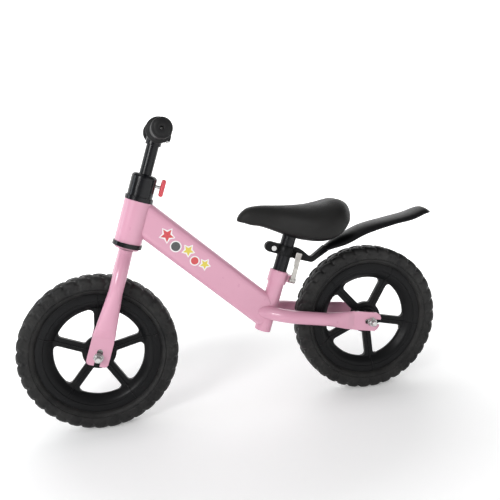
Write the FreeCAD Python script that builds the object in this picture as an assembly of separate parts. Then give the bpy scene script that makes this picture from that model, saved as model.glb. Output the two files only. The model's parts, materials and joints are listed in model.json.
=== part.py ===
"""Balance bike for a small child: pink steel frame and fork, black five-spoke wheels.

Units are millimetres. +X is forward, +Y is to the rider's left, +Z is up. The origin is on the
ground, midway between the axles. Each piece is one STEP file in parts/.
"""

import math
import os

import FreeCAD
import Part

V = FreeCAD.Vector
Y_AXIS = V(0, 1, 0)

# Driving dimensions
WHEEL_R = 145.0            # "12 inch" foam wheel
WHEELBASE = 522.0
ANGLE = 20.0               # head tube and seat tube lean back from upright
SEAT_TOP = (-90.6, 260.2)  # x, z of the middle of the seat tube's upper end
TUBE_R = 12.7              # fork legs and stays
TUBE_WALL = 1.5

TYRE_HALF = 21.2
TYRE_INNER_R = 100.0
RIM_RING_R = 81.5
RIM_HALF = 15.0
SPOKES = 5
SPOKE_W = 16.5
SPOKE_HALF = 10.0
HUB_R = 25.0
HUB_HALF = 28.5
FRONT_SPOKE_AT = 94.8      # degrees from forward towards up
REAR_SPOKE_AT = 121.5

AXLE_R = 5.0
RUN = 0.05                 # running clearance on a radius
BEARING_R, BEARING_W = 13.0, 8.0
NUT_FLATS, NUT_H = 15.0, 7.0
WASHER_R, WASHER_T = 9.0, 1.5
AXLE_OUT = 7.0             # axle end left bare outside each nut
PLATE_T = 4.5
FRONT_PLATE_Y = 31.0       # inner face of the fork ends
REAR_PLATE_Y = 33.5        # inner face of the stay ends

LEG_Y = 38.0
STAY_Y = 40.0
STAY_SLOPE = 10.8
PLATE_H = 40.0

HEAD_R, HEAD_BORE = 25.0, 23.0
HEAD_LOW, HEAD_TOP = 211.5, 289.0
BUSH_FLANGE = 8.0
STEERER_R = 12.7
STEERER_LOW, STEERER_TOP = 199.5, 314.0
COLLAR_R, COLLAR_TOP = 23.0, 338.0
KNOB_AT, KNOB_BACK = 321.5, 35.0

STEM_R = 11.1
STEM_LOW, STEM_TOP = 245.0, 392.0
BAR_AT = 416.0
BAR_HALF = 172.0
GRIP_IN, GRIP_OUT = 79.0, 180.0

MAIN_H, MAIN_W, MAIN_WALL = 61.0, 31.0, 2.0
MAIN_SLOPE = 43.15
MAIN_POINT = (47.1, 280.8)  # x, z of one point on the main tube's centre line

SEAT_R, SEAT_BORE, SEAT_LEN = 15.9, 13.7, 121.5
COLLAR2_R, COLLAR2_LOW, COLLAR2_TOP = 18.8, -24.0, -1.0
SKEWER_AT, SKEWER_BACK, SKEWER_R = -11.3, 23.7, 2.5
POST_R, POST_LOW, POST_TOP = 13.6, -100.0, 84.0
GUARD_LOW, GUARD_TOP = 30.0, 50.0


def rod(radius, length, at=(0, 0, 0), along=(0, 0, 1)):
    return Part.makeCylinder(radius, length, V(*at), V(*along))


def pipe(radius, bore, low, high):
    """A tube along local Z between two heights."""
    outer = rod(radius, high - low, (0, 0, low))
    return outer.cut(rod(bore, high - low + 2, (0, 0, low - 1)))


def box(x0, x1, y0, y1, z0, z1):
    return Part.makeBox(x1 - x0, y1 - y0, z1 - z0, V(x0, y0, z0))


def leaned(shape, at, degrees):
    """Local Z leans back by degrees, local X rises by as much; then it moves to x, z."""
    shape = shape.copy()
    shape.rotate(V(0, 0, 0), Y_AXIS, -degrees)
    shape.translate(V(at[0], 0, at[1]))
    return shape


def on_steering(shape):
    return leaned(shape, (WHEELBASE / 2, WHEEL_R), ANGLE)


def on_seat(shape):
    return leaned(shape, SEAT_TOP, ANGLE)


def on_stay(shape):
    return leaned(shape, (-WHEELBASE / 2, WHEEL_R), STAY_SLOPE)


def mirrored(shape):
    return shape.mirror(V(0, 0, 0), Y_AXIS)


def both_sides(shape):
    return Part.makeCompound([shape, mirrored(shape)])


def largest(shape):
    """The biggest solid of a cut: the offcuts inside a joint are dropped."""
    return max(shape.Solids, key=lambda solid: solid.Volume)


def power(value, exponent):
    return math.copysign(abs(value) ** exponent, value)


def closed_curve(points):
    curve = Part.BSplineCurve()
    curve.interpolate(points, PeriodicFlag=True)
    return Part.Wire(curve.toShape())


def oval(centre, across, up, half_w, half_h, sharpness=2.0, count=16):
    """A closed oval in the plane of two unit vectors; more sharpness gives squarer corners."""
    points = []
    for i in range(count):
        t = 2 * math.pi * i / count
        a = half_w * power(math.cos(t), 2 / sharpness)
        b = half_h * power(math.sin(t), 2 / sharpness)
        points.append(centre + across * a + up * b)
    return closed_curve(points)


def loft(sections):
    return Part.makeLoft(sections, True, False)


def prism(points, half):
    """A flat outline in local X, Z, as thick as twice half along Y."""
    wire = Part.makePolygon([V(x, -half, z) for x, z in points + points[:1]])
    return Part.Face(wire).extrude(V(0, 2 * half, 0))


def hexagon(flats, height, y):
    """A nut blank along +Y from y."""
    r = flats / math.sqrt(3)
    ring = [V(r * math.cos(a), y, r * math.sin(a))
            for a in [math.radians(60 * i) for i in range(7)]]
    return Part.Face(Part.makePolygon(ring)).extrude(V(0, height, 0))


# Wheels, built about the origin with the axle along Y

def spun(profile):
    """Revolve an outline of (radius, y) points about Y."""
    wire = Part.makePolygon([V(r, y, 0) for r, y in profile + profile[:1]])
    return Part.Face(wire).revolve(V(0, 0, 0), Y_AXIS, 360)


def symmetric(half):
    return half + [(r, -y) for r, y in reversed(half)]


def tyre():
    shoulder = 9.0
    half = [(TYRE_INNER_R, RIM_HALF - 1), (112.0, RIM_HALF - 1), (113.5, RIM_HALF + 1),
            (119.0, TYRE_HALF - 1.0), (123.0, TYRE_HALF)]
    for i in range(5):
        a = math.radians(22.5 * i)
        half.append((WHEEL_R - shoulder + shoulder * math.sin(a),
                     TYRE_HALF - shoulder + shoulder * math.cos(a)))
    return spun(symmetric(half))


def window():
    """Opening between two spokes, centred on +X, with rounded corners."""
    spread = math.pi / SPOKES
    apex = SPOKE_W / 2 / math.sin(spread)
    far = (apex + 120 * math.cos(spread), 120 * math.sin(spread))
    wedge = prism([(apex, 0), far, (far[0], -far[1])], 40)
    ring = rod(RIM_RING_R, 70, (0, -35, 0), (0, 1, 0)).cut(rod(HUB_R + 6, 80, (0, -40, 0), (0, 1, 0)))
    shape = wedge.common(ring)
    for corner_r, outer in [(7.0, True), (4.5, False)]:
        corners = [e for e in shape.Edges if abs(e.tangentAt(e.FirstParameter).y) > 0.99
                   and (math.hypot(e.CenterOfMass.x, e.CenterOfMass.z) > 60) == outer]
        shape = shape.makeFillet(corner_r, corners)
    return shape


def rim(spoke_at):
    """Spoked disc between a stepped ring and the hub; the ring's band slopes up to the tyre."""
    lip = RIM_HALF + 1.5
    ring = spun(symmetric([(RIM_RING_R, RIM_HALF - 1.5), (RIM_RING_R + 1.5, RIM_HALF),
                           (98.5, RIM_HALF), (TYRE_INNER_R, lip), (112.0, RIM_HALF - 0.9),
                           (112.0, RIM_HALF - 1), (TYRE_INNER_R, RIM_HALF - 1)]))
    web = rod(RIM_RING_R + 2, 2 * SPOKE_HALF, (0, -SPOKE_HALF, 0), (0, 1, 0))
    for i in range(SPOKES):
        opening = window()
        opening.rotate(V(0, 0, 0), Y_AXIS, -(spoke_at + 360 / SPOKES * (i + 0.5)))
        web = web.cut(opening)
    rims = [e for e in web.Edges if abs(abs(e.CenterOfMass.y) - SPOKE_HALF) < 0.01
            and math.hypot(e.BoundBox.Center.x, e.BoundBox.Center.z) > 5]
    web = web.makeFillet(1.2, rims)
    hub = rod(17.0, 2 * HUB_HALF, (0, -HUB_HALF, 0), (0, 1, 0))
    hub = hub.fuse(rod(HUB_R - 2, 2 * SPOKE_HALF + 3, (0, -SPOKE_HALF - 1.5, 0), (0, 1, 0)))
    body = ring.multiFuse([hub, web])
    bore = rod(AXLE_R + 2, 2 * HUB_HALF + 2, (0, -HUB_HALF - 1, 0), (0, 1, 0))
    seat = rod(BEARING_R, BEARING_W + 1, (0, HUB_HALF - BEARING_W, 0), (0, 1, 0))
    return body.cut(bore).cut(both_sides(seat)).removeSplitter()


def bearings():
    ring = rod(BEARING_R, BEARING_W, (0, HUB_HALF - BEARING_W, 0), (0, 1, 0))
    ring = ring.cut(rod(AXLE_R + RUN, BEARING_W + 2, (0, HUB_HALF - BEARING_W - 1, 0), (0, 1, 0)))
    return both_sides(ring)


def axle_set(plate_y):
    """Axle, spacers, washers and nuts about the origin, for plates whose inner face is plate_y."""
    nut_y = plate_y + PLATE_T + WASHER_T
    half = nut_y + NUT_H + AXLE_OUT
    axle = rod(AXLE_R, 2 * half, (0, -half, 0), (0, 1, 0))
    ends = [edge for edge in axle.Edges if isinstance(edge.Curve, Part.Circle)]
    axle = axle.makeChamfer(0.8, ends)
    relief = rod(AXLE_R + 1, 1.0, (0, nut_y + NUT_H, 0), (0, 1, 0))
    relief = relief.cut(rod(AXLE_R - 0.6, 4.0, (0, nut_y + NUT_H - 1, 0), (0, 1, 0)))
    axle = axle.cut(both_sides(relief))
    hole = rod(AXLE_R + 0.02, 100, (0, 0, 0), (0, 1, 0))
    gap = 0.5
    spacer = rod(8.0, plate_y - HUB_HALF - gap, (0, HUB_HALF + gap, 0), (0, 1, 0)).cut(hole)
    washer = rod(WASHER_R, WASHER_T, (0, plate_y + PLATE_T, 0), (0, 1, 0)).cut(hole)
    nut = hexagon(NUT_FLATS, NUT_H, nut_y).cut(hole)
    return {"axle": axle, "axle_spacers": both_sides(spacer),
            "axle_washers": both_sides(washer), "axle_nuts": both_sides(nut)}


# Frame

def main_tube():
    def bar(inset):
        solid = box(-149, 168, inset - MAIN_W / 2, MAIN_W / 2 - inset,
                    inset - MAIN_H / 2, MAIN_H / 2 - inset)
        along = [e for e in solid.Edges if abs(e.tangentAt(e.FirstParameter).x) > 0.9]
        return leaned(solid.makeFillet(13.0 - inset, along), MAIN_POINT, MAIN_SLOPE)

    outer = bar(0)
    head = on_steering(rod(HEAD_R, 120, (0, 0, 190)))
    flange = on_steering(rod(HEAD_R + 2, 12, (0, 0, HEAD_TOP - 0.2)))
    seat = on_seat(rod(SEAT_R, SEAT_LEN + 20, (0, 0, -SEAT_LEN - 10)))
    behind = on_seat(box(-80, 0, -40, 40, -200, 60))
    for tool in [head, flange, seat, behind]:
        outer = outer.cut(tool)
    hollow = bar(MAIN_WALL)
    return outer, largest(outer.cut(hollow))


def slotted_tube(bend, plate_mid, plate, slot_end, shoulder):
    """Tube that runs along local X to its bend, flattened at the low end into a slotted plate.

    bend lists x, y of the round part's centre line. The axle sits at the local origin; the
    slot opens towards -X and closes at slot_end. shoulder gives the oval just above the
    plate: x, half width, half height; from there it tapers straight up to the round part.
    """
    start, flat = bend[0], plate[0][0] - 2
    half = plate[1][1]
    up = V(0, 0, 1)
    share = (shoulder[0] - flat) / (start[0] - flat)
    shoulder_y = plate_mid + (start[1] - plate_mid) * share ** 0.5

    def bar(wall):
        radius = TUBE_R - wall
        ends = [oval(V(flat - wall, plate_mid, 0), Y_AXIS, up, PLATE_T / 2 + 0.15 - 0.95 * wall,
                     half + 0.3 - wall, 3.5),
                oval(V(shoulder[0], shoulder_y, 0), Y_AXIS, up, shoulder[1] - wall,
                     shoulder[2] - wall, 2.3),
                oval(V(start[0], start[1], 0), Y_AXIS, up, radius, radius)]
        sections = []
        for i, (x, y) in enumerate(bend):
            ahead = bend[min(i + 1, len(bend) - 1)]
            behind = bend[max(i - 1, 0)]
            turn = math.atan2(ahead[1] - behind[1], ahead[0] - behind[0]) if i else 0
            across = V(-math.sin(turn), math.cos(turn), 0)
            sections.append(oval(V(x, y, 0), across, up, radius, radius))
        return Part.makeLoft(ends, True, True).fuse(loft(sections))

    end = prism(plate, PLATE_T / 2)
    end.translate(V(0, plate_mid, 0))
    gap = AXLE_R + 0.2
    slot = box(-40, slot_end - gap, 0, 60, -gap, gap)
    slot = slot.fuse(rod(gap, 60, (slot_end - gap, 0, 0), (0, 1, 0)))
    return bar(0).cut(bar(TUBE_WALL)).fuse(end).cut(slot)


def stay(main_outer):
    """Left stay: from the main tube's flank out round the wheel and back to the axle."""
    bend = [(92, STAY_Y), (112, STAY_Y), (136, STAY_Y), (160, STAY_Y - 1.5), (181, 32),
            (198, 22), (211, 11), (222, 2)]
    half = PLATE_H / 2 - 1.5
    plate = [(40, half - 1), (30, half), (-8, half), (-15, half - 4), (-18, 9), (-16.5, -8),
             (-13, 4 - half), (-8, -half), (30, -half), (40, 1 - half)]
    body = slotted_tube(bend, REAR_PLATE_Y + PLATE_T / 2, plate, 14.0, (52, 6.5, 17.4))
    body = on_stay(body).cut(main_outer)
    body = body.cut(on_seat(rod(SEAT_R, SEAT_LEN + 10, (0, 0, -SEAT_LEN - 5))))
    return largest(body.cut(box(-300, 100, -60, 0.1, 0, 400)))


def seat_tube():
    tube = pipe(SEAT_R, SEAT_BORE, -SEAT_LEN, 0)
    slit = box(-30, 0, -1.5, 1.5, -34, 5)
    return on_seat(tube.cut(slit))


def seat_collar():
    ring = pipe(COLLAR2_R, SEAT_R + 0.02, COLLAR2_LOW, COLLAR2_TOP)
    ears = box(-SKEWER_BACK - 6, -16, -10, 10, SKEWER_AT - 7, SKEWER_AT + 7)
    body = ring.fuse(ears.cut(rod(SEAT_R + 0.02, 60, (0, 0, -40))))
    hole = rod(SKEWER_R + 0.2, 40, (-SKEWER_BACK, -20, SKEWER_AT), (0, 1, 0))
    return on_seat(body.cut(box(-60, 0, -1.5, 1.5, -60, 20)).cut(hole))


def skewer():
    shaft = rod(SKEWER_R, 30.8, (-SKEWER_BACK, -18, SKEWER_AT), (0, 1, 0))
    nut = rod(5.5, 6.0, (-SKEWER_BACK, -16.2, SKEWER_AT), (0, 1, 0))
    nut = nut.cut(rod(SKEWER_R + 0.02, 20, (-SKEWER_BACK, -18, SKEWER_AT), (0, 1, 0)))
    base = rod(5.0, 2.7, (-SKEWER_BACK, 10.1, SKEWER_AT), (0, 1, 0))
    base = base.cut(rod(SKEWER_R + 0.02, 20, (-SKEWER_BACK, 0, SKEWER_AT), (0, 1, 0)))
    return on_seat(shaft), on_seat(nut), on_seat(base)


def seat_lever():
    """Cam barrel outboard of the collar's left ear, with a curved lever that points up."""
    cam = rod(5.5, 12.0, (-SKEWER_BACK - 6, 18.6, SKEWER_AT), (1, 0, 0))
    sections = []
    for back, up, out, half_w, half_t in [(23.7, 0, 19.6, 5.2, 2.6), (23.4, 12, 22.0, 4.7, 2.2),
                                          (23.0, 24, 23.0, 4.6, 2.1), (22.5, 36, 21.0, 5.0, 2.0),
                                          (22.0, 47, 20.5, 5.8, 2.2), (21.8, 55, 21.5, 6.0, 1.8)]:
        centre = V(-back, out, SKEWER_AT + up)
        sections.append(oval(centre, V(1, 0, 0), V(0, 1, 0), half_w, half_t, 3.0, 12))
    return on_seat(cam.fuse(loft(sections)))


def headset_bush(low):
    """Flanged plastic bush; the flange is outside the head tube, the sleeve inside it."""
    if low:
        flange = (HEAD_LOW - BUSH_FLANGE, HEAD_LOW)
        sleeve = (HEAD_LOW, HEAD_LOW + 18)
        radius = 27.0
    else:
        flange = (HEAD_TOP, HEAD_TOP + BUSH_FLANGE)
        sleeve = (HEAD_TOP - 18, HEAD_TOP)
        radius = 25.8
    bore = STEERER_R + RUN
    body = pipe(radius, bore, *flange).fuse(pipe(HEAD_BORE, bore, *sleeve))
    return on_steering(body.removeSplitter())


# Fork

def fork_steerer():
    body = pipe(STEERER_R, STEM_R + 0.1, STEERER_LOW, STEERER_TOP)
    crown = pipe(22.0, STEM_R + 0.1, STEERER_LOW, HEAD_LOW - BUSH_FLANGE - 0.3)
    return on_steering(body.fuse(crown).removeSplitter())


def fork_leg():
    """Left leg: joined under the crown, bent outwards, then straight down to the axle."""
    bend = [(124, LEG_Y), (136, LEG_Y), (150, LEG_Y - 2), (168, 30), (186, 20),
            (200, 14.5), (214, 13)]
    half = PLATE_H / 2
    plate = [(40, half - 1), (30, half), (-10, half), (-14, half - 2), (-16, half - 6),
             (-16, 6 - half), (-14, 2 - half), (-10, -half), (30, -half), (40, 1 - half)]
    body = slotted_tube(bend, FRONT_PLATE_Y + PLATE_T / 2, plate, 16.0, (53, 6.5, 18.7))
    body.rotate(V(0, 0, 0), Y_AXIS, -90)
    body = body.cut(box(-60, 60, -60, 80, STEERER_LOW, 260))
    return on_steering(largest(body.cut(box(-60, 60, -60, 0.05, -60, 260))))


def clamp_collar():
    low = HEAD_TOP + BUSH_FLANGE + 0.3
    solid = rod(COLLAR_R, COLLAR_TOP - low, (0, 0, low))
    top = [e for e in solid.Edges if isinstance(e.Curve, Part.Circle) and e.Curve.Center.z > 330]
    solid = solid.makeFillet(7.0, top)
    solid = solid.cut(rod(STEERER_R + 0.02, STEERER_TOP - low + 1.3, (0, 0, low - 1)))
    solid = solid.cut(rod(STEM_R + 0.1, 100, (0, 0, low)))
    return on_steering(solid.cut(rod(3.05, 40, (0, 0, KNOB_AT), (-1, 0, 0))))


def clamp_knob():
    """Red wing knob seen edge-on, and its screw into the collar."""
    screw = rod(3.0, KNOB_BACK - 4.2 - 12.5, (-KNOB_BACK + 4.2, 0, KNOB_AT), (1, 0, 0))
    wing = box(-KNOB_BACK - 4.2, -KNOB_BACK + 4.2, -7, 7, KNOB_AT - 16, KNOB_AT + 16)
    wing = wing.makeFillet(4.0, wing.Edges)
    return on_steering(wing), on_steering(screw)


# Handlebar

def stem_lug():
    sleeve = pipe(14.0, STEM_R + 0.02, STEM_TOP - 1, BAR_AT - 8)
    saddle = rod(15.0, 36, (0, -18, BAR_AT), (0, 1, 0))
    clamp = box(-27, 0, -9, 9, BAR_AT - 11, BAR_AT - 1)
    body = sleeve.fuse(saddle).fuse(clamp)
    body = body.cut(rod(STEM_R + 0.02, 21, (0, 0, STEM_TOP - 20)))
    body = body.cut(rod(STEM_R + 0.02, 80, (0, -40, BAR_AT), (0, 1, 0)))
    return on_steering(body.cut(rod(2.6, 30, (-21.5, 0, BAR_AT - 22))))


def stem_bolt():
    shaft = rod(2.5, 17, (-21.5, 0, BAR_AT - 14))
    return on_steering(shaft.fuse(rod(4.5, 4, (-21.5, 0, BAR_AT - 15))))


def handlebar_tube():
    bar = rod(STEM_R, 2 * BAR_HALF, (0, -BAR_HALF, BAR_AT), (0, 1, 0))
    return on_steering(bar.cut(rod(9.4, 400, (0, -200, BAR_AT), (0, 1, 0))))


def grip():
    """Left grip: inner guard flange, ribbed sleeve, domed end with a small vent hole."""
    profile = [(STEM_R + 0.02, GRIP_IN), (19.5, GRIP_IN), (21.5, GRIP_IN + 1.5),
               (21.5, GRIP_IN + 4), (19.5, GRIP_IN + 5.5)]
    start, stop, count = GRIP_IN + 8, GRIP_OUT - 16, 8
    for i in range(count):
        y = start + (stop - start) * i / count
        profile += [(14.0, y), (15.2, y + 2), (15.2, y + 6), (14.0, y + 8)]
    profile += [(14.2, GRIP_OUT - 12), (16.0, GRIP_OUT - 9), (16.0, GRIP_OUT - 3),
                (13.5, GRIP_OUT - 0.6), (7.0, GRIP_OUT), (2.6, GRIP_OUT),
                (2.6, BAR_HALF + 0.1), (STEM_R + 0.02, BAR_HALF + 0.1)]
    shape = spun(profile)
    shape.translate(V(0, 0, BAR_AT))
    return on_steering(shape)


# Seat

SADDLE = [  # x, underside z, top z, half width
    (-14, 362.5, 367, 4), (-20, 360, 376, 10), (-28, 357.5, 382.5, 14.5), (-38, 353.5, 387, 18),
    (-60, 348, 388.5, 22.5), (-90, 334.5, 386, 31), (-120, 321.5, 384, 46), (-150, 314, 384, 60),
    (-178, 313.5, 387.5, 67), (-195, 319.5, 390.5, 66), (-205, 326, 391, 62), (-213, 333, 389, 55),
    (-222, 341, 383.5, 42), (-228, 347, 375, 27), (-231.5, 353, 366, 10)]


def saddle_loft(inset, below, height):
    """The saddle's outline, narrowed by inset; height scales how far up it reaches."""
    sections = []
    for x, low, top, half in SADDLE:
        if inset and (x > -30 or x < -230):
            continue
        middle = low + 0.38 * (top - low)
        points = []
        for i in range(18):
            t = 2 * math.pi * i / 18
            side = (half - inset) * power(math.cos(t), 0.85)
            if math.sin(t) >= 0:
                z = middle + height * (top - middle) * power(math.sin(t), 0.9)
            else:
                z = middle + (middle - low + below) * power(math.sin(t), 0.55)
            points.append(V(x, side, z))
        sections.append(closed_curve(points))
    return loft(sections)


def saddle():
    whole = saddle_loft(0, 0, 1)
    pan = saddle_loft(5, 8, 0.15)
    post_room = on_seat(rod(POST_R + 0.02, POST_TOP + 0.5 + 60, (0, 0, -60)))
    shell = largest(whole.common(pan)).cut(post_room)
    return largest(whole.cut(pan).cut(post_room)), shell


def mudguard():
    """One moulding: clamp ring on the post, arm, neck and arched blade."""
    ring = pipe(POST_R + 4, POST_R + 0.02, GUARD_LOW, GUARD_TOP)
    ear = box(14, 32, -6, 6, GUARD_LOW, GUARD_TOP)
    ear = ear.fuse(rod(10, 12, (32, -6, 40), (0, 1, 0)))
    clamp = ring.fuse(ear).cut(rod(POST_R + 0.02, 60, (0, 0, 10)))
    clamp = clamp.cut(box(5, 60, -1.2, 1.2, 0, 80)).cut(rod(3.1, 40, (25, -20, 39), (0, 1, 0)))
    clamp = on_seat(clamp)
    arm = prism([(-104, 284), (-115.5, 303.6), (-129, 300), (-134.6, 297.5), (-151.5, 281),
                 (-180, 299), (-188, 288), (-155, 269.3), (-136.4, 275), (-119, 281)], 8)
    arm = arm.cut(on_seat(rod(POST_R + 2, 100, (0, 0, 0))))
    sections = []
    for x, z, turn, half, drop in GUARD:
        along = math.radians(turn)
        down = V(math.sin(along), 0, -math.cos(along))
        sections.append(arch(V(x, 0, z), down, half, drop))
    return clamp.fuse(arm).fuse(loft(sections))


GUARD = [  # crown x, z, rise angle of the blade (degrees back from level), half width, side drop
    (-174, 291, 40, 8, 14), (-195.3, 306.5, 37, 17, 19), (-229, 322.5, 26, 28.5, 23),
    (-264, 335, 16, 32, 17), (-317, 343.5, 9, 33, 12), (-356, 350, 13, 33, 13),
    (-382, 357.5, 3, 29, 12), (-390, 356.8, -20, 23, 10.5), (-395, 352.5, -50, 14.5, 7)]


def arch(crown, down, half, drop):
    """Closed arch outline: a crowned outer line and a like line inside it."""
    outer, inner = [], []
    wall = min(3.0, drop * 0.6)
    for i in range(9):
        a = math.pi * i / 8
        side, fall = math.cos(a), 1 - power(math.sin(a), 0.7)
        outer.append(crown + Y_AXIS * (half * side) + down * (drop * fall))
        inner.append(crown + Y_AXIS * ((half - wall * 0.8) * side)
                     + down * (wall + (drop - wall) * fall))
    ring = outer + inner[::-1]
    return Part.makePolygon(ring + ring[:1])


def mudguard_bolt():
    shaft = rod(3.0, 18, (25, -9, 39), (0, 1, 0))
    bolt = shaft.fuse(rod(4.8, 3.5, (25, 6.1, 39), (0, 1, 0)))
    nut = hexagon(10.0, 5.0, 0)
    nut.translate(V(25, -11.1, 39))
    return on_seat(bolt), on_seat(nut.cut(rod(3.02, 40, (25, -20, 39), (0, 1, 0))))


def build():
    nodes = {}
    for end, x, spoke_at, plate_y in [("front", WHEELBASE / 2, FRONT_SPOKE_AT, FRONT_PLATE_Y),
                                      ("rear", -WHEELBASE / 2, REAR_SPOKE_AT, REAR_PLATE_Y)]:
        wheel = {"tyre": tyre(), "rim": rim(spoke_at), "bearings": bearings()}
        wheel.update(axle_set(plate_y))
        for name, shape in wheel.items():
            shape.translate(V(x, 0, WHEEL_R))
            nodes[f"{end}_{name}"] = shape

    main_outer, nodes["main_tube"] = main_tube()
    nodes["head_tube"] = on_steering(pipe(HEAD_R, HEAD_BORE, HEAD_LOW, HEAD_TOP))
    nodes["seat_tube"] = seat_tube()
    nodes["left_stay"] = stay(main_outer)
    nodes["right_stay"] = mirrored(nodes["left_stay"])
    nodes["upper_headset_bush"] = headset_bush(False)
    nodes["lower_headset_bush"] = headset_bush(True)
    nodes["seat_collar"] = seat_collar()
    nodes["seat_skewer"], nodes["seat_skewer_nut"], nodes["seat_cam_washer"] = skewer()
    nodes["seat_lever"] = seat_lever()

    nodes["fork_steerer"] = fork_steerer()
    nodes["fork_left_leg"] = fork_leg()
    nodes["fork_right_leg"] = mirrored(nodes["fork_left_leg"])
    nodes["clamp_collar"] = clamp_collar()
    nodes["clamp_knob"], nodes["clamp_screw"] = clamp_knob()

    nodes["stem_tube"] = on_steering(pipe(STEM_R, STEM_R - 1.8, STEM_LOW, STEM_TOP))
    nodes["stem_lug"] = stem_lug()
    nodes["stem_bolt"] = stem_bolt()
    nodes["handlebar_tube"] = handlebar_tube()
    nodes["left_grip"] = grip()
    nodes["right_grip"] = mirrored(nodes["left_grip"])

    nodes["seat_post"] = on_seat(pipe(POST_R, POST_R - 2, POST_LOW, POST_TOP))
    nodes["saddle_cover"], nodes["saddle_shell"] = saddle()
    nodes["mudguard"] = mudguard()
    nodes["mudguard_bolt"], nodes["mudguard_nut"] = mudguard_bolt()
    return nodes


os.makedirs("parts", exist_ok=True)
for node, solid in build().items():
    if not solid.isValid() or solid.Volume < 1:
        print("bad solid", node, solid.Volume)
    solid.exportStep(f"parts/{node}.step")
    print(node, len(solid.Solids), round(solid.Volume))
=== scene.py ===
"""Balance bike: the looks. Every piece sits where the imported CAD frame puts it, in metres."""

import json
import math

import bmesh
import bpy
from mathutils import Matrix, Vector


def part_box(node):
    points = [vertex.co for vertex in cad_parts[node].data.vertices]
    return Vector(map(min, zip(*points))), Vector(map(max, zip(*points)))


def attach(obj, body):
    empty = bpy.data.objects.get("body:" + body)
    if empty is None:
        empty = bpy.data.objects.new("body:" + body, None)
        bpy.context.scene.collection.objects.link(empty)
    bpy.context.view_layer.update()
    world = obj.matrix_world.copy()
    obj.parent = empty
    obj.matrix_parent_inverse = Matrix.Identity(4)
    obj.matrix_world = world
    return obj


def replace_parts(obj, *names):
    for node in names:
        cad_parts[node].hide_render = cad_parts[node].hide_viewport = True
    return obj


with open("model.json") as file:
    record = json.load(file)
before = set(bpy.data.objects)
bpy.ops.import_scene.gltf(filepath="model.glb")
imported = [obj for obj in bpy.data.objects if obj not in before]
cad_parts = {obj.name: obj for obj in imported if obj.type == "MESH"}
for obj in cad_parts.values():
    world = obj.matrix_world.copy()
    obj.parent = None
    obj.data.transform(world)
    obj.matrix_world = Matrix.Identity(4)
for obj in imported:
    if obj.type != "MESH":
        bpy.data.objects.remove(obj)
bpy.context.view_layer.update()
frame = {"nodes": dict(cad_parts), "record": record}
nodes = frame["nodes"]

MM = 0.001
TILT = math.radians(20)
UP = Vector((-math.sin(TILT), 0, math.cos(TILT)))      # along the steering and seat axes
AHEAD = Vector((math.cos(TILT), 0, math.sin(TILT)))
LEFT = Vector((0, 1, 0))
WHEEL_R = 0.145


def centre(node):
    low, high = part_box(node)
    return (low + high) / 2


def axes(origin, x, y, z):
    m = Matrix((x, y, z)).transposed().to_4x4()
    m.translation = origin
    return m


FRONT = centre("front_tyre")
REAR = centre("rear_tyre")
STEERING = axes(FRONT, AHEAD, LEFT, UP)                 # local Z up the steering axis
SEAT_TOP = Vector((-0.0906, 0, 0.2602))
SEAT = axes(SEAT_TOP, AHEAD, LEFT, UP)


# ---------------------------------------------------------------- materials

def new_material(name, color, roughness, metallic=0.0, **sockets):
    mat = bpy.data.materials.new(name)
    mat.use_nodes = True
    shader = mat.node_tree.nodes["Principled BSDF"]
    shader.inputs["Base Color"].default_value = (*color, 1)
    shader.inputs["Roughness"].default_value = roughness
    shader.inputs["Metallic"].default_value = metallic
    for socket, value in sockets.items():
        shader.inputs[socket.replace("_", " ")].default_value = value
    return mat


def node(mat, kind, **values):
    n = mat.node_tree.nodes.new(kind)
    for key, value in values.items():
        if hasattr(n, key):
            setattr(n, key, value)
        else:
            n.inputs[key.replace("_", " ")].default_value = value
    return n


def link(mat, a, b):
    mat.node_tree.links.new(a, b)


def place(mat, stretch=(1, 1, 1)):
    """Object coordinates in metres, stretched."""
    coords = node(mat, "ShaderNodeTexCoord")
    mapping = node(mat, "ShaderNodeMapping")
    mapping.inputs["Scale"].default_value = stretch
    link(mat, coords.outputs["Object"], mapping.inputs["Vector"])
    return mapping.outputs["Vector"]


def noise(mat, where, scale, detail=3.0, roughness=0.5):
    n = node(mat, "ShaderNodeTexNoise", Scale=scale, Detail=detail, Roughness=roughness)
    link(mat, where, n.inputs["Vector"])
    return n.outputs["Fac"]


def remap(mat, value, low, high, out_low, out_high):
    n = node(mat, "ShaderNodeMapRange")
    for key, v in (("From Min", low), ("From Max", high), ("To Min", out_low), ("To Max", out_high)):
        n.inputs[key].default_value = v
    link(mat, value, n.inputs["Value"])
    return n.outputs["Result"]


def shade(mat, factor, dark, light):
    """Base colour that moves between two colours with factor."""
    mix = node(mat, "ShaderNodeMix", data_type="RGBA")
    for socket in mix.inputs:
        if socket.type == "RGBA" and socket.name in "AB":
            socket.default_value = (*(dark if socket.name == "A" else light), 1)
    link(mat, factor, mix.inputs["Factor"])
    out = [s for s in mix.outputs if s.type == "RGBA"][0]
    link(mat, out, mat.node_tree.nodes["Principled BSDF"].inputs["Base Color"])


def bump(mat, heights, distance, strength=1.0, edge=0.0006):
    """Adds up (height, weight) pairs into one bump, over edges rounded by the Bevel node."""
    shader = mat.node_tree.nodes["Principled BSDF"]
    total = None
    for height, weight in heights:
        scaled = node(mat, "ShaderNodeMath", operation="MULTIPLY")
        scaled.inputs[1].default_value = weight
        link(mat, height, scaled.inputs[0])
        if total is None:
            total = scaled.outputs[0]
        else:
            added = node(mat, "ShaderNodeMath", operation="ADD")
            link(mat, total, added.inputs[0])
            link(mat, scaled.outputs[0], added.inputs[1])
            total = added.outputs[0]
    b = node(mat, "ShaderNodeBump", Strength=strength, Distance=distance)
    link(mat, total, b.inputs["Height"])
    if edge:
        rounded = node(mat, "ShaderNodeBevel", samples=4, Radius=edge)
        link(mat, rounded.outputs["Normal"], b.inputs["Normal"])
    link(mat, b.outputs["Normal"], shader.inputs["Normal"])


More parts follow.
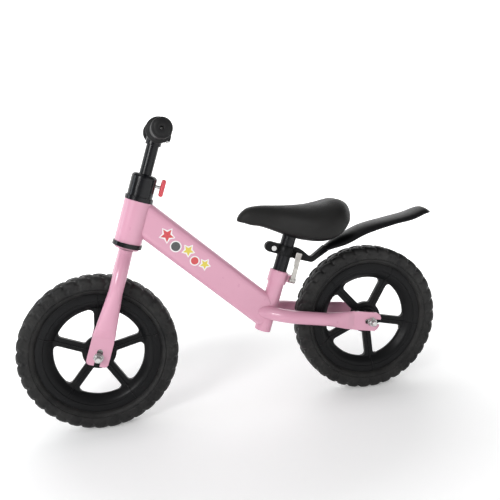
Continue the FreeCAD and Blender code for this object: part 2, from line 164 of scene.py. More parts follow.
def roughen(mat, value):
    link(mat, value, mat.node_tree.nodes["Principled BSDF"].inputs["Roughness"])


def paint(name, color, coat=0.6, roughness=0.32, gleam=0.5):
    """Sprayed gloss paint: slight orange peel, faint mottling."""
    mat = new_material(name, color, roughness, Coat_Weight=coat, Coat_Roughness=0.08,
                       Specular_IOR_Level=gleam)
    where = place(mat)
    mottle = noise(mat, where, 14.0, 3.0)
    dark = tuple(c * 0.955 for c in color)
    light = tuple(min(1, c * 1.03) for c in color)
    shade(mat, mottle, dark, light)
    roughen(mat, remap(mat, noise(mat, where, 60.0, 4.0), 0.3, 0.7, roughness - 0.05, roughness + 0.07))
    bump(mat, [(noise(mat, where, 420.0, 2.0), 1.0), (noise(mat, where, 90.0, 1.0), 2.0)], 0.00006)
    return mat


def moulded(name, color, roughness, grain=0.00005, scale=2600.0, coat=0.0, gleam=0.3):
    """Injection-moulded plastic: spark-eroded grain, faint flow marks and handling scuffs."""
    mat = new_material(name, color, roughness, Coat_Weight=coat, Coat_Roughness=0.12,
                       Specular_IOR_Level=gleam)
    where = place(mat)
    flow = noise(mat, place(mat, (1.0, 3.0, 1.0)), 9.0, 4.0)
    shade(mat, flow, tuple(c * 0.8 for c in color), tuple(c * 1.3 for c in color))
    scuff = noise(mat, where, 130.0, 6.0, 0.7)
    roughen(mat, remap(mat, scuff, 0.35, 0.7, roughness - 0.05, roughness + 0.09))
    bump(mat, [(noise(mat, where, scale, 2.0), 1.0), (noise(mat, where, 40.0, 2.0), 1.5)], grain)
    return mat


def tyre_foam():
    """EVA foam: dull, fine closed pores, dusty lighter where it rubs."""
    mat = new_material("eva_tyre", (0.012, 0.012, 0.012), 0.6, Specular_IOR_Level=0.28)
    where = place(mat)
    pores = node(mat, "ShaderNodeTexVoronoi", Scale=900.0)
    link(mat, where, pores.inputs["Vector"])
    dust = noise(mat, where, 34.0, 8.0, 0.65)
    shade(mat, remap(mat, dust, 0.35, 0.72, 0.0, 1.0), (0.0042, 0.0042, 0.0046), (0.021, 0.0205, 0.0195))
    roughen(mat, remap(mat, noise(mat, where, 22.0, 5.0), 0.3, 0.7, 0.34, 0.62))
    bump(mat, [(pores.outputs["Distance"], 1.0), (noise(mat, where, 260.0, 4.0), 1.6)], 0.0002,
         edge=0)
    return mat


def rubber(name, color, roughness):
    mat = new_material(name, color, roughness, Specular_IOR_Level=0.26)
    where = place(mat)
    shade(mat, noise(mat, where, 30.0, 5.0), tuple(c * 0.8 for c in color), tuple(c * 1.35 for c in color))
    roughen(mat, remap(mat, noise(mat, where, 75.0, 5.0), 0.3, 0.7, roughness - 0.07, roughness + 0.08))
    bump(mat, [(noise(mat, where, 1500.0, 2.0), 1.0)], 0.00005)
    return mat


def saddle_vinyl():
    """Self-skinned foam with a fine leather-like grain."""
    color = (0.0088, 0.0086, 0.0083)
    mat = new_material("saddle_vinyl", color, 0.42, Specular_IOR_Level=0.24)
    where = place(mat)
    cells = node(mat, "ShaderNodeTexVoronoi", feature="DISTANCE_TO_EDGE", Scale=620.0)
    warp = noise(mat, where, 300.0, 2.0)
    moved = node(mat, "ShaderNodeVectorMath", operation="MULTIPLY_ADD")
    link(mat, where, moved.inputs[0])
    moved.inputs[1].default_value = (1, 1, 1)
    spread = node(mat, "ShaderNodeMath", operation="MULTIPLY")
    spread.inputs[1].default_value = 0.002
    link(mat, warp, spread.inputs[0])
    link(mat, spread.outputs[0], moved.inputs[2])
    link(mat, moved.outputs[0], cells.inputs["Vector"])
    crease = remap(mat, cells.outputs["Distance"], 0.0, 0.16, 0.0, 1.0)
    shade(mat, noise(mat, where, 26.0, 4.0), tuple(c * 0.75 for c in color), tuple(c * 1.4 for c in color))
    roughen(mat, remap(mat, noise(mat, where, 45.0, 5.0), 0.3, 0.7, 0.40, 0.54))
    bump(mat, [(crease, 1.0), (noise(mat, where, 1400.0, 2.0), 0.5)], 0.00009, 0.8)
    return mat


def metal(name, color, roughness, stretch=(1, 1, 1), scale=420.0):
    """Zinc-plated or cast metal: fine scratches and slight tone shifts."""
    mat = new_material(name, color, roughness, metallic=1.0)
    where = place(mat, stretch)
    marks = noise(mat, where, scale, 5.0, 0.6)
    roughen(mat, remap(mat, marks, 0.3, 0.7, roughness - 0.07, roughness + 0.14))
    shade(mat, noise(mat, where, 180.0, 4.0), tuple(c * 0.78 for c in color), color)
    bump(mat, [(marks, 1.0)], 0.00004)
    return mat


PINK = paint("pink_paint", (0.665, 0.325, 0.44))
BLACK_PAINT = paint("black_paint", (0.0038, 0.0042, 0.0058), coat=0.16, roughness=0.26, gleam=0.2)
GLOSS = moulded("black_gloss_plastic", (0.0038, 0.0042, 0.0055), 0.2, 0.00002, coat=0.16, gleam=0.22)
MATTE = moulded("black_matte_plastic", (0.0046, 0.0048, 0.0054), 0.36, 0.00005, gleam=0.16)
RED = moulded("red_plastic", (0.60, 0.045, 0.065), 0.28, 0.00002, coat=0.4, gleam=0.5)
ZINC = metal("zinc_steel", (0.66, 0.66, 0.65), 0.26)
ALLOY = metal("lever_alloy", (0.56, 0.54, 0.51), 0.3, scale=260.0)
RUBBER = rubber("grip_rubber", (0.0052, 0.0052, 0.0056), 0.48)
TYRE = tyre_foam()
VINYL = saddle_vinyl()

BY_SLOT = {"pink_paint": PINK, "black_paint": BLACK_PAINT, "black_gloss_plastic": GLOSS,
           "black_matte_plastic": MATTE, "red_plastic": RED, "zinc_steel": ZINC,
           "lever_alloy": ALLOY, "grip_rubber": RUBBER, "tyre": TYRE, "saddle_vinyl": VINYL}

for part in frame["record"]["subparts"]:
    cad = nodes[part["node"]]
    cad.data.materials.clear()
    cad.data.materials.append(BY_SLOT[part["material_slot"]])


# ---------------------------------------------------------------- mesh helpers

def finish_mesh(name, verts, faces, slot, body, matrix=None, smooth=True, subdivide=0, sharp=None):
    mesh = bpy.data.meshes.new(name)
    mesh.from_pydata([tuple(v) for v in verts], [], faces)
    tidy = bmesh.new()
    tidy.from_mesh(mesh)
    bmesh.ops.remove_doubles(tidy, verts=tidy.verts, dist=1e-6)
    bmesh.ops.recalc_face_normals(tidy, faces=tidy.faces)
    tidy.to_mesh(mesh)
    tidy.free()
    if matrix is not None:
        mesh.transform(matrix)
    mesh.materials.append(BY_SLOT[slot])
    piece = bpy.data.objects.new(name, mesh)
    bpy.context.scene.collection.objects.link(piece)
    for face in mesh.polygons:
        face.use_smooth = smooth
    if sharp is not None:
        mesh.set_sharp_from_angle(angle=math.radians(sharp))
    if subdivide:
        mod = piece.modifiers.new("subdivision", "SUBSURF")
        mod.levels = mod.render_levels = subdivide
    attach(piece, body)
    return piece


def soften(piece, width, segments=2, angle=35):
    """Rounded edges."""
    mod = piece.modifiers.new("bevel", "BEVEL")
    mod.width = width
    mod.segments = segments
    mod.limit_method = "ANGLE"
    mod.angle_limit = math.radians(angle)
    mod.harden_normals = False
    return piece


def skin(rings, closed_ends=True, wrap=True):
    """Vertices and quads through a list of equal rings of points."""
    count = len(rings[0])
    verts = [p for ring in rings for p in ring]
    faces = []
    for i in range(len(rings) - 1):
        for j in range(count if wrap else count - 1):
            k = (j + 1) % count
            faces.append((i * count + j, i * count + k, (i + 1) * count + k, (i + 1) * count + j))
    if closed_ends:
        faces.append(tuple(range(count)))
        faces.append(tuple((len(rings) - 1) * count + j for j in range(count)))
    return verts, faces


def lathe(profile, count=64):
    """Closed profile of (radius, height) spun about local Z."""
    rings = []
    for i in range(count):
        a = 2 * math.pi * i / count
        rings.append([Vector((r * math.cos(a), r * math.sin(a), h)) for r, h in profile])
    rings.append(rings[0])
    return skin(rings, closed_ends=False)


def turned(name, profile, slot, body, matrix, count=64, sharp=40):
    verts, faces = lathe(profile, count)
    return finish_mesh(name, verts, faces, slot, body, matrix, sharp=sharp)


def plate(name, outline, half, slot, body, matrix=None, edge=0.0012, mid=0.0):
    """Flat outline of (x, z) in mm, thick across Y, with rounded edges."""
    near = [Vector((x, mid + half, z)) * MM for x, z in outline]
    far = [Vector((x, mid - half, z)) * MM for x, z in outline]
    verts, faces = skin([near, far])
    piece = finish_mesh(name, verts, faces, slot, body, matrix, sharp=45)
    return soften(piece, edge, 3, 40)


def smooth_path(points, per=8):
    """Catmull-Rom through rows of numbers."""
    rows = [points[0]] + list(points) + [points[-1]]
    out = []
    for i in range(1, len(rows) - 2):
        p0, p1, p2, p3 = rows[i - 1:i + 3]
        for k in range(per):
            t = k / per
            out.append(tuple(0.5 * (2 * b + (c - a) * t + (2 * a - 5 * b + 4 * c - d) * t * t
                                    + (3 * b - a - 3 * c + d) * t ** 3)
                             for a, b, c, d in zip(p0, p1, p2, p3)))
    out.append(tuple(points[-1]))
    return out


def power(value, exponent):
    return math.copysign(abs(value) ** exponent, value)


# ---------------------------------------------------------------- tyres

KNOBS = 36
TYRE_HALF = 0.0212
BLOCKS_FROM = 0.1222                                   # radius where the blocks begin
CHANNEL, GROOVE = 0.0030, 0.0026                       # depth between blocks, and round the tread
SIDE_CHANNEL, SIPE = 0.0013, 0.0004                    # the same on the side walls


def step(value, low, high):
    t = min(1.0, max(0.0, (value - low) / (high - low)))
    return t * t * (3 - 2 * t)


def carve(r, y, share):
    """Where a point of the plain tyre goes when the blocks are cut, share of the way round."""
    across = y / TYRE_HALF
    turn = KNOBS * share + 0.26 * math.sin(across * math.pi * 1.5)
    if r < WHEEL_R - 0.0001:
        turn += math.copysign(0.22 * math.sin(math.pi * 2 * (r - BLOCKS_FROM) / 0.0228), y)
    wave = math.cos(2 * math.pi * turn)
    channel = 0.55 * step(wave, 0.35, 1.0) + 0.45 * (0.5 + 0.5 * wave) ** 2
    sipe = step(math.cos(6 * math.pi * turn), 0.7, 1.0) * step(r, 0.1255, 0.1275)
    crest = 1 - 0.5 * step(0.24 - abs(across), 0.0, 0.12)
    zigzag = 0.055 * math.sin(2 * math.pi * (turn + 0.25))
    groove = step(0.065 - abs(abs(across) - 0.40 - zigzag), 0.0, 0.04)
    down = max(CHANNEL * channel * crest * step(r, 0.1330, 0.1410),
               GROOVE * groove * step(r, 0.1420, 0.1440))
    on_side = step(r, BLOCKS_FROM, 0.1262) * (1 - step(r, 0.1405, 0.1440))
    if abs(y) > 0.005:
        y -= math.copysign((SIDE_CHANNEL * channel + SIPE * sipe) * on_side, y)
    return r - down, y


def tyre_profile():
    """Closed outline of (radius, y): seat on the rim, smooth bevel, side, shoulder, tread."""
    shoulder, half = 0.0100, TYRE_HALF
    profile = [(0.1005, 0.0137), (0.1120, 0.0137), (0.1125, 0.0142), (0.1132, 0.0152),
               (0.1145, 0.0170), (0.1165, 0.0185), (0.1190, 0.0199), (0.1203, 0.0203),
               (0.1209, 0.0194), (0.1216, 0.0194), (BLOCKS_FROM, 0.0203), (0.1240, 0.0209),
               (0.1262, 0.0211), (0.1285, half), (0.1310, half), (0.1332, half),
               (WHEEL_R - shoulder, half)]
    for i in range(1, 8):
        a = math.radians(90 * i / 8)
        profile.append((WHEEL_R - shoulder + shoulder * math.sin(a),
                        half - shoulder + shoulder * math.cos(a)))
    profile += [(WHEEL_R, 0.0014 * i) for i in range(8, -1, -1)]
    return profile + [(r, -y) for r, y in reversed(profile[:-1])]


def tyre_piece(name, cad, body, where):
    """Foam tyre with wavy blocks over its shoulders and tread."""
    count = KNOBS * 24
    profile = tyre_profile()
    rings = []
    for i in range(count):
        theta = 2 * math.pi * i / count
        cut = [carve(r, y, i / count) for r, y in profile]
        rings.append([Vector((r * math.cos(theta), y, r * math.sin(theta))) for r, y in cut])
    rings.append(rings[0])
    verts, faces = skin(rings, closed_ends=False)
    piece = finish_mesh(name, verts, faces, "tyre", body, Matrix.Translation(where), sharp=50)
    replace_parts(piece, cad)


tyre_piece("front_tyre_tread", "front_tyre", "front_wheel", FRONT)
tyre_piece("rear_tyre_tread", "rear_tyre", "rear_wheel", REAR)


# ---------------------------------------------------------------- rims

RIM_EDGE = [  # radius, half thickness (mm): window edge, dished wall, lip, band under the tyre
    (81.6, 0.0), (81.9, 2.2), (82.7, 3.8), (84.3, 5.4), (87.0, 8.2), (90.0, 11.3), (93.2, 13.7),
    (96.0, 14.8), (98.4, 15.0), (99.2, 16.1), (100.4, 16.5), (112.0, 14.1), (112.0, 14.0),
    (100.0, 14.0)]
HUB_EDGE = [(7.0, 20.5), (13.0, 20.5), (13.0, 28.5), (16.2, 28.5), (17.0, 27.7), (17.0, 13.2),
            (18.6, 11.5), (22.2, 11.5), (23.0, 10.7), (23.0, 6.2), (24.6, 4.9), (30.2, 4.9),
            (31.0, 4.1)]
RIB = [(24, 6.4), (26, 5.6), (80, 5.5), (83.5, 6.2), (87.0, 9.2), (90.0, 12.2), (93.2, 14.6),
       (96.0, 15.7), (98.4, 15.9), (99.6, 17.0), (106.0, 16.0), (110.5, 14.9), (111.5, 14.4)]


def spun(name, half_profile, body, where):
    """Ring about the wheel axle, the same on both sides."""
    profile = half_profile + [(r, -y) for r, y in reversed(half_profile) if y > 0]
    matrix = axes(where, Vector((1, 0, 0)), Vector((0, 0, -1)), LEFT)
    return turned(name, [(r * MM, y * MM) for r, y in profile], "black_matte_plastic", body,
                  matrix, 128, 35)


def fillet(x, y, radius, first, last):
    return [(x + radius * math.cos(math.radians(first + (last - first) * k / 6)),
             y + radius * math.sin(math.radians(first + (last - first) * k / 6))) for k in range(7)]


def spoke_outline():
    """Straight spoke whose edges curve into the hub disc and into the ring."""
    half, hub_r, ring_r, inner, outer = 8.25, 31.0, 81.6, 4.5, 7.0
    edge = [(26.0, 10.0)]
    y = half + inner
    x = math.sqrt((hub_r + inner) ** 2 - y * y)
    edge += fillet(x, y, inner, math.degrees(math.atan2(y, x)) + 180, 270)
    y = half + outer
    x = math.sqrt((ring_r - outer) ** 2 - y * y)
    edge += fillet(x, y, outer, 270, math.degrees(math.atan2(y, x)) + 360)
    edge += [(83.9, 17.6)]
    return edge + [(x, -y) for x, y in reversed(edge)]


def rim_piece(end, body, where, spoke_at):
    """Moulded rim: dished ring, hub, five spokes with a low rib that runs out to the tyre."""
    pieces = [spun(f"{end}_rim_ring", RIM_EDGE, body, where),
              spun(f"{end}_rim_hub", HUB_EDGE, body, where)]
    for i in range(5):
        a = math.radians(spoke_at + 72 * i)
        out = Vector((math.cos(a), 0, math.sin(a)))
        across = Vector((-math.sin(a), 0, math.cos(a)))
        pieces.append(plate(f"{end}_spoke_{i}", spoke_outline(), 4.5, "black_matte_plastic", body,
                            axes(where, out, LEFT, across), 0.0011))
        for side, sign in (("left", 1), ("right", -1)):
            rings = []
            for r, y in RIB:
                low, top = (Vector((0, sign * h * MM, 0)) for h in (y - 1.3, y))
                rings.append([out * (r * MM) + across * w + (top if abs(w) < 0.0009 else low)
                              for w in (-0.0015, -0.0008, 0.0008, 0.0015)])
            verts, faces = skin(rings)
            finish_mesh(f"{end}_{side}_rim_rib_{i}", verts, faces, "black_matte_plastic", body,
                        Matrix.Translation(where), sharp=40)
    for piece in pieces:
        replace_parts(piece, f"{end}_rim")


rim_piece("front", "front_wheel", FRONT, 94.8)
rim_piece("rear", "rear_wheel", REAR, 121.5)


# ---------------------------------------------------------------- axle ends

def hex_nut(name, body, at, out, flats, height, bore):
    """Chamfered hexagon; out is the way its outer face looks."""
    r = flats / math.sqrt(3)
    rings = []
    for h, scale, corner in ((0, 0.955, 0.93), (0.07 * height, 1, 1), (0.86 * height, 1, 1),
                             (height, 0.93, 0.88)):
        ring = []
        for i in range(36):
            a = 2 * math.pi * i / 36
            local = (a + math.pi / 6) % (math.pi / 3) - math.pi / 6
            hexagonal = flats / 2 / math.cos(local)
            ring.append(Vector((min(hexagonal, r * corner) * scale * math.cos(a),
                                min(hexagonal, r * corner) * scale * math.sin(a), h)))
        rings.append(ring)
    for h, rad in ((height, bore * 1.12), (height - 0.0006, bore), (0, bore)):
        rings.append([Vector((rad * math.cos(2 * math.pi * i / 36),
                              rad * math.sin(2 * math.pi * i / 36), h)) for i in range(36)])
    rings.append(rings[0])
    verts, faces = skin(rings, closed_ends=False)
    side = Vector(out).normalized()
    x = side.orthogonal().normalized()
    matrix = axes(Vector(at), x, side.cross(x), side)
    return finish_mesh(name, verts, faces, "zinc_steel", body, matrix, sharp=28)


def threaded_end(name, body, at, out, radius, length, pitch=0.00125):
    """Axle end with its thread, chamfered at the tip."""
    count, samples, depth, chamfer = 28, 12, 0.00062, 0.0012
    side = Vector(out).normalized()
    x = side.orthogonal().normalized()
    matrix = axes(Vector(at), x, side.cross(x), side)
    rings = []
    for j in range(int(length / pitch * samples) + 1):
        h = j / samples * pitch
        taper = max(0.0, h - (length - chamfer))
        ring = []
        for i in range(count):
            a = 2 * math.pi * i / count
            phase = (h / pitch - i / count) % 1.0
            tooth = abs(phase - 0.5) * 2
            r = min(radius - depth * tooth, radius - taper)
            ring.append(Vector((r * math.cos(a), r * math.sin(a), h)))
        rings.append(ring)
    verts, faces = skin(rings)
    return finish_mesh(name, verts, faces, "zinc_steel", body, matrix, sharp=50)


def axle_end(end, body, where):
    """Nut, chamfered washer and threaded end on both sides, over the plain CAD ones."""
    nuts_y, washers_y, axle_y = (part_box(f"{end}_axle{kind}")[1].y
                                 for kind in ("_nuts", "_washers", ""))
    nut_h, bore, washer_t = 0.0070, 0.0051, 0.0015
    profile = [(0.0088, 0), (0.0090, 0.0003), (0.0090, 0.0012), (0.0087, washer_t),
               (bore, washer_t), (bore, 0)]
    for side, sign in (("left", 1), ("right", -1)):
        out = Vector((0, sign, 0))
        nut = hex_nut(f"{end}_{side}_nut", body, where + out * (nuts_y - nut_h), out, 0.015,
                      nut_h, bore)
        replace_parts(nut, f"{end}_axle_nuts")
        threaded_end(f"{end}_{side}_axle_thread", body, where + out * (nuts_y - 0.0005), out,
                     0.0050, axle_y - nuts_y + 0.0004)
        x = Vector((1, 0, 0))
        washer = turned(f"{end}_{side}_washer", profile, "zinc_steel", body,
                        axes(where + out * (washers_y - washer_t), x, out.cross(x), out), 48, 30)
        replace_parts(washer, f"{end}_axle_washers")


axle_end("front", "fork", FRONT)
axle_end("rear", "frame", REAR)


# ---------------------------------------------------------------- quick-release lever

LEVER = [  # behind the seat axis, above the cam, outboard, half width, half thickness (mm)
    (23.7, 1, 19.8, 5.2, 2.8), (23.5, 7, 21.1, 4.9, 2.5), (23.4, 12, 22.0, 4.6, 2.2),
    (23.2, 18, 22.8, 4.4, 2.0), (23.0, 24, 23.0, 4.4, 2.0), (22.7, 31, 22.1, 4.7, 2.0),
    (22.5, 36, 21.0, 5.1, 2.1), (22.2, 42, 20.3, 5.5, 2.3), (22.0, 47, 20.4, 5.9, 2.3),
    (21.8, 52, 21.3, 6.1, 2.1), (21.8, 54.6, 22.0, 5.4, 1.5)]


def quick_release():
    """Cast lever: cam barrel with a pin, waisted S-shaped arm and a ribbed finger pad."""
    hub = SEAT.inverted() @ centre("seat_cam_washer")
    pivot = Vector((hub.x / MM, 18.6, hub.z / MM))
    rings = []
    for back, up, outboard, half, thick in smooth_path(LEVER, 10):
        on_pad = step(up, 37, 39) * (1 - step(up, 50.5, 52))
        ridge = 0.55 * on_pad * max(0.0, math.cos(2 * math.pi * (up - 38.5) / 3.0))
        dish = 0.5 * step(up, 8, 14) * (1 - step(up, 33, 36))
        ring = []
        for i in range(24):
            t = 2 * math.pi * i / 24
            w, h = half * power(math.cos(t), 0.5), thick * power(math.sin(t), 0.5)
            if h > 0:
                h += (ridge - dish) * step(half - abs(w), 0.3, 1.4)
            ring.append(Vector((-back + w, outboard + h, pivot.z + up)) * MM)
        rings.append(ring)
    verts, faces = skin(rings)
    arm = finish_mesh("quick_release_arm", verts, faces, "lever_alloy", "seat_lever", SEAT, sharp=50)
    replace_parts(arm, "seat_lever")
    x, y, z = Vector((0, 1, 0)), Vector((0, 0, 1)), Vector((1, 0, 0))
    profile = [(1.6, -5.5), (2.0, -6.0), (4.9, -6.0), (5.4, -5.5), (5.4, -1.9), (5.0, -1.5),
               (5.0, 1.5), (5.4, 1.9), (5.4, 5.5), (4.9, 6.0), (2.0, 6.0), (1.6, 5.5)]
    barrel = turned("quick_release_cam", [(r * MM, h * MM) for r, h in profile], "lever_alloy",
                    "seat_lever", SEAT @ axes(pivot * MM, x, y, z), 48, 35)
    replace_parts(barrel, "seat_lever")
    pin = [(0.0, -5.2), (1.5, -5.2), (1.6, -5.0), (1.6, 5.0), (1.5, 5.2), (0.0, 5.2)]
    turned("quick_release_pin", [(r * MM, h * MM) for r, h in pin], "zinc_steel", "seat_lever",
           SEAT @ axes(pivot * MM, x, y, z), 24, 35)


quick_release()


# ---------------------------------------------------------------- grips

def grip_piece(side, sign):
    """Rubber grip: guard flange, ring ribs and a domed end with a vent hole."""
    profile = [(11.12, 79.6), (18.0, 79.0), (20.6, 79.3), (21.6, 80.4), (21.9, 82.0), (21.5, 83.4),
               (20.2, 84.4), (17.2, 85.2), (15.0, 86.4), (14.0, 88.0)]
    start, stop, count = 89.0, 166.0, 15
    pitch = (stop - start) / count
    for i in range(count):
        y = start + pitch * i
        profile += [(13.9, y), (14.9, y + pitch * 0.22), (15.2, y + pitch * 0.45),
                    (14.9, y + pitch * 0.68), (13.9, y + pitch * 0.9)]
    profile += [(13.9, 167.0), (14.4, 168.6), (15.9, 169.8), (16.2, 171.2), (16.4, 173.5),
                (16.3, 176.0), (15.8, 177.9), (14.6, 179.1), (13.0, 179.35), (12.6, 179.05),
                (12.2, 179.35), (8.0, 179.95), (4.0, 180.0), (3.0, 179.6), (2.6, 178.6),
                (2.6, 172.2), (11.12, 172.2)]
    profile = [(r * MM, y * MM) for r, y in profile]
    bar_centre = centre("handlebar_tube")
    z = Vector((0, sign, 0))
    x = AHEAD
    piece = turned(f"{side}_grip_rubber", profile, "grip_rubber", "handlebar",
                   axes(Vector((bar_centre.x, 0, bar_centre.z)), x, z.cross(x), z), 72, 50)
    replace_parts(piece, f"{side}_grip")


grip_piece("left", 1)
grip_piece("right", -1)


# ---------------------------------------------------------------- saddle

SADDLE = [  # x, underside z, top z, half width (mm), as in the CAD solid
    (-14, 362.5, 367, 4), (-20, 360, 376, 10), (-28, 357.5, 382.5, 14.5), (-38, 353.5, 387, 18),
    (-60, 348, 388.5, 22.5), (-90, 334.5, 386, 31), (-120, 321.5, 384, 46), (-150, 314, 384, 60),
    (-178, 313.5, 387.5, 67), (-195, 319.5, 390.5, 66), (-205, 326, 391, 62), (-213, 333, 389, 55),
    (-222, 341, 383.5, 42), (-228, 347, 375, 27), (-231.5, 353, 366, 10)]


def saddle_cover():
    rings = []
    for x, low, top, half in smooth_path(SADDLE, 3):
        middle = low + 0.38 * (top - low)
        ring = []
        for i in range(28):
            t = 2 * math.pi * i / 28
            side = half * power(math.cos(t), 0.86)
            if math.sin(t) >= 0:
                z = middle + (top - middle) * power(math.sin(t), 0.92)
                if x < -140:                                    # shallow channel between the buttocks
                    z -= 2.2 * math.exp(-(side / 9.0) ** 2) * min(1, (-140 - x) / 30)
            else:
                z = middle + (middle - low) * power(math.sin(t), 0.5)
            ring.append(Vector((x, side, z)) * MM)
        rings.append(ring)
    verts, faces = skin(rings)
    piece = finish_mesh("saddle_cushion", verts, faces, "saddle_vinyl", "seat", subdivide=2)
    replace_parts(piece, "saddle_cover")


saddle_cover()


# ---------------------------------------------------------------- mudguard

GUARD = [  # crown x, z, angle, half width, side drop (mm), as in the CAD solid
    (-174, 291, 40, 8, 14), (-195.3, 306.5, 37, 17, 19), (-229, 322.5, 26, 28.5, 23),
    (-264, 335, 16, 32, 17), (-317, 343.5, 9, 33, 12), (-356, 350, 13, 33, 13),
    (-382, 357.5, 3, 29, 12), (-390, 356.8, -20, 23, 10.5), (-395, 352.5, -50, 14.5, 7)]


def mudguard_blade():
    rings = []
    for x, z, turn, half, drop in smooth_path(GUARD, 6):
        along = math.radians(turn)
        down = Vector((math.sin(along), 0, -math.cos(along)))
        crown = Vector((x, 0, z))
        wall = min(3.0, drop * 0.6)
        outer, inner = [], []
        for i in range(25):
            a = math.pi * i / 24
            side, fall = math.cos(a), 1 - power(math.sin(a), 0.7)
            outer.append(crown + LEFT * (half * side) + down * (drop * fall))
            inner.append(crown + LEFT * ((half - wall * 0.8) * side)
                         + down * (wall + (drop - wall) * fall))
        rings.append([p * MM for p in outer + inner[::-1]])
    verts, faces = skin(rings)
    blade = finish_mesh("mudguard_blade", verts, faces, "black_matte_plastic", "seat", sharp=50)
    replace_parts(soften(blade, 0.0007, 2, 50), "mudguard")


def mudguard_arm():
    """Arm, split clamp ring and ears, all moulded in one with the blade."""
    arm = plate("mudguard_arm", [(-110, 286), (-117, 303.6), (-123, 302.6), (-129, 300.6),
                (-134.6, 297.3), (-143, 289.7), (-151.5, 281.4), (-156, 282.2), (-168, 290.6),
                (-182, 300.5), (-190, 293), (-188, 288.6), (-171, 279), (-158, 271), (-153, 270),
                (-136.4, 275.4), (-119, 280.9)], 8.0, "black_matte_plastic", "seat", edge=0.0022)
    rings = [(13.65, 30.6), (14.2, 30.0), (17.0, 30.0), (17.6, 30.8), (17.6, 49.2), (17.0, 50.0),
             (14.2, 50.0), (13.65, 49.4)]
    ring = turned("mudguard_clamp", [(r * MM, h * MM) for r, h in rings], "black_matte_plastic",
                  "seat", axes(SEAT_TOP, AHEAD, LEFT, UP), 64, 40)
    ear = [(14.5, 30.2), (32, 30.0)]
    ear += [(32 + 10 * math.cos(math.radians(a)), 40 + 10 * math.sin(math.radians(a)))
            for a in range(-75, 76, 15)] + [(32, 50.0), (14.5, 49.8)]
    pieces = [arm, ring]
    for side, sign in (("left", 1), ("right", -1)):
        pieces.append(plate(f"mudguard_{side}_ear", ear, 2.4, "black_matte_plastic", "seat",
                            axes(SEAT_TOP, AHEAD, LEFT, UP), 0.0009, sign * 3.6))
    for piece in pieces:
        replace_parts(piece, "mudguard")


mudguard_blade()
mudguard_arm()


# ---------------------------------------------------------------- decal

MAIN_SLOPE = math.radians(43.15)
MAIN_POINT = Vector((0.0471, 0, 0.2808))               # on the main tube's centre line
MAIN_HALF = 0.0155                                     # half its width, where its flat side is


def star(points, outer, inner):
    out = []
    for i in range(points * 2):
        r = outer if i % 2 == 0 else inner
        a = math.pi / 2 + math.pi * i / points
        out.append((r * math.cos(a), r * math.sin(a)))
    return out


def disc(radius, count=32):
    return [(radius * math.cos(2 * math.pi * i / count), radius * math.sin(2 * math.pi * i / count))
            for i in range(count)]


def sticker(name, outline, at, lift, mat, sign):
    """Flat printed shape on the main tube's side; at is along the tube and across it (m)."""
    along = Vector((math.cos(MAIN_SLOPE), 0, math.sin(MAIN_SLOPE)))
    across = Vector((-math.sin(MAIN_SLOPE), 0, math.cos(MAIN_SLOPE)))
    y = sign * (MAIN_HALF + lift)
    top, bottom = [], []
    for u, v in outline:
        p = MAIN_POINT + along * (at[0] - sign * u) + across * (at[1] + v)
        top.append(Vector((p.x, y, p.z)))
        bottom.append(Vector((p.x, sign * (MAIN_HALF - 0.0001), p.z)))
    n = len(outline)
    faces = [tuple(range(n)), tuple(range(n, 2 * n))]
    faces += [(i, (i + 1) % n, n + (i + 1) % n, n + i) for i in range(n)]
    mesh = bpy.data.meshes.new(name)
    mesh.from_pydata([tuple(v) for v in top + bottom], [], faces)
    tidy = bmesh.new()
    tidy.from_mesh(mesh)
    bmesh.ops.recalc_face_normals(tidy, faces=tidy.faces)
    tidy.to_mesh(mesh)
    tidy.free()
    mesh.materials.append(mat)
    piece = bpy.data.objects.new(name, mesh)
    bpy.context.scene.collection.objects.link(piece)
    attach(piece, "frame")


def print_ink(name, color):
    mat = new_material(name, color, 0.3, Coat_Weight=0.5, Coat_Roughness=0.1)
    where = place(mat)
    shade(mat, noise(mat, where, 300.0, 3.0), tuple(c * 0.93 for c in color), color)
    roughen(mat, remap(mat, noise(mat, where, 120.0, 3.0), 0.3, 0.7, 0.26, 0.36))
    return mat


INK_WHITE = print_ink("ink_white", (0.86, 0.84, 0.84))
INK_RED = print_ink("ink_red", (0.62, 0.05, 0.06))
INK_YELLOW = print_ink("ink_yellow", (0.72, 0.58, 0.06))
INK_DARK = print_ink("ink_dark", (0.05, 0.055, 0.06))


def decals():
    """A generic run of stars and dots where the photographed bike has its sticker."""
    shapes = [(0.100, 0.003, "star", 0.0130, INK_RED), (0.075, -0.004, "dot", 0.0085, INK_DARK),
              (0.052, 0.004, "star", 0.0105, INK_YELLOW), (0.031, -0.004, "dot", 0.0070, INK_RED),
              (0.012, 0.002, "star", 0.0095, INK_YELLOW)]
    for side, sign in (("left", 1), ("right", -1)):
        for i, (u, v, kind, size, ink) in enumerate(shapes):
            if kind == "star":
                back, front = star(5, size + 0.0028, size * 0.52 + 0.0024), star(5, size, size * 0.45)
            else:
                back, front = disc(size + 0.0022), disc(size)
            sticker(f"{side}_decal_{i}_border", back, (u, v), 0.00012, INK_WHITE, sign)
            sticker(f"{side}_decal_{i}", front, (u, v), 0.00020, ink, sign)


decals()


# ---------------------------------------------------------------- floor, light and camera

def pale_floor(color, roughness, near, far):
    """White floor that glows more away from the bike, so that its shadow stays soft and local."""
    mat = new_material("floor_white", color, roughness)
    shader = mat.node_tree.nodes["Principled BSDF"]
    shader.inputs["Emission Color"].default_value = (1, 1, 1, 1)
    reach = node(mat, "ShaderNodeVectorMath", operation="LENGTH")
    link(mat, place(mat), reach.inputs[0])
    link(mat, remap(mat, reach.outputs["Value"], 0.33, 0.95, near, far),
         shader.inputs["Emission Strength"])
    return mat


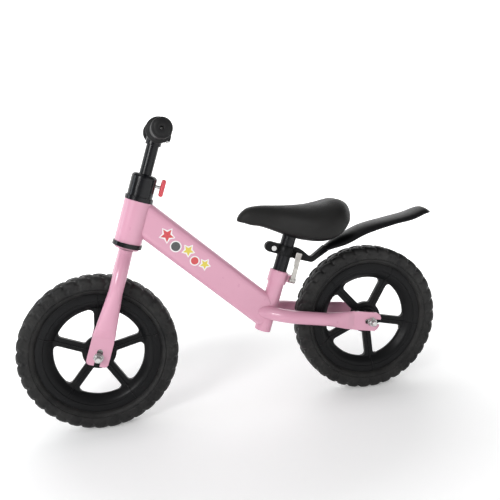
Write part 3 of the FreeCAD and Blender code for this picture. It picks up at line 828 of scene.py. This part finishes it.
def floor_and_sweep():
    """Pale floor that curves up into a wall behind the bike."""
    profile = [(12.0, 0.0), (0.0, 0.0), (-2.0, 0.0)]
    profile += [(-2.0 - 1.2 * math.sin(math.radians(a)), 1.2 - 1.2 * math.cos(math.radians(a)))
                for a in range(3, 91, 3)] + [(-3.2, 5.0)]
    rows = [[Vector((x, y, z)) for x in (-12, 12)] for y, z in profile]
    verts, faces = skin(rows, closed_ends=False, wrap=False)
    mesh = bpy.data.meshes.new("floor")
    mesh.from_pydata([tuple(v) for v in verts], [], faces)
    for face in mesh.polygons:
        face.use_smooth = True
    mesh.materials.append(pale_floor((0.92, 0.92, 0.92), 0.6, 0.20, 0.75))
    floor = bpy.data.objects.new("floor", mesh)
    bpy.context.scene.collection.objects.link(floor)


def area_light(name, at, target, size, watts, color=(1, 1, 1)):
    light = bpy.data.lights.new(name, "AREA")
    light.shape = "RECTANGLE"
    light.size, light.size_y = size
    light.energy = watts
    light.color = color
    lamp = bpy.data.objects.new(name, light)
    lamp.location = at
    lamp.rotation_euler = (Vector(target) - Vector(at)).to_track_quat("-Z", "Y").to_euler()
    bpy.context.scene.collection.objects.link(lamp)


floor_and_sweep()
area_light("key", (1.9, 2.1, 1.5), (0, 0, 0.2), (1.0, 1.0), 40)
area_light("fill", (-1.7, 2.5, 1.0), (0, 0, 0.2), (1.8, 1.5), 8)
area_light("edge", (2.3, -0.1, 0.9), (0, 0, 0.25), (0.35, 1.5), 7, (0.86, 0.93, 1.0))
area_light("top", (0.6, 0.2, 3.0), (0, 0, 0), (1.6, 1.6), 8)

world = bpy.data.worlds.new("studio")
world.use_nodes = True
world.node_tree.nodes["Background"].inputs["Color"].default_value = (1, 1, 1, 1)
world.node_tree.nodes["Background"].inputs["Strength"].default_value = 0.28
bpy.context.scene.world = world


def camera():
    """The photograph's viewpoint: in front-left of the bike's middle, looking slightly down."""
    yaw, pitch, roll = (math.radians(a) for a in (11.02, 10.58, -3.94))
    look = Vector((-math.sin(yaw) * math.cos(pitch), -math.cos(yaw) * math.cos(pitch),
                   -math.sin(pitch)))
    right = look.cross(Vector((0, 0, 1))).normalized()
    up = right.cross(look)
    x = math.cos(roll) * right + math.sin(roll) * up
    y = math.cos(roll) * up - math.sin(roll) * right
    data = bpy.data.cameras.new("camera")
    data.sensor_width = 36
    data.lens = 575.1 / 500 * 36
    data.clip_start, data.clip_end = 0.01, 50
    cam = bpy.data.objects.new("camera", data)
    cam.matrix_world = axes(Vector((0.1698, 1.0533, 0.5059)), x, y, -look)
    bpy.context.scene.collection.objects.link(cam)
    bpy.context.scene.camera = cam


camera()
bpy.context.scene.view_settings.view_transform = "Standard"
